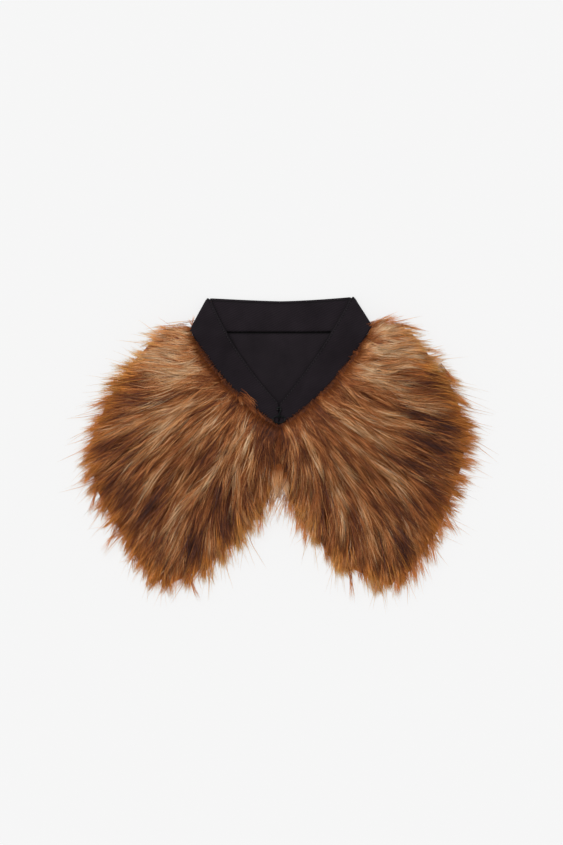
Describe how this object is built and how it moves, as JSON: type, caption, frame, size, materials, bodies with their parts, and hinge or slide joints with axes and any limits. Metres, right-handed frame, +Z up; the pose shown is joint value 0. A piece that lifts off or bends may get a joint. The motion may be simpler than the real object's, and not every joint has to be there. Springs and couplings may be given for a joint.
{
  "type": "fur collar wrap",
  "caption": "Deep rounded collar of long brown faux fur on a low black cloth stand, closed at the front with a hook and eye and laid flat.",
  "frame": {"origin": "on the table under the middle of the wrap, as it lies", "axes": "+Z up off the table, +Y from the hook towards the nape, +X to the right seen from above"},
  "size_m": [0.4118, 0.3071, 0.039],
  "materials": {
    "faux_fur": "long soft pile, combed outwards from the stand",
    "black_cloth": "matt woven cloth",
    "black_wire": "black lacquer, slightly glossy"
  },
  "bodies": {
    "root": {"fur_back": "faux_fur", "fur_left": "faux_fur", "fur_right": "faux_fur", "back_lining": "black_cloth", "stand_back": "black_cloth", "stand_left": "black_cloth", "stand_right": "black_cloth", "eye": "black_wire", "hook": "black_wire"}
  },
  "joints": []
}
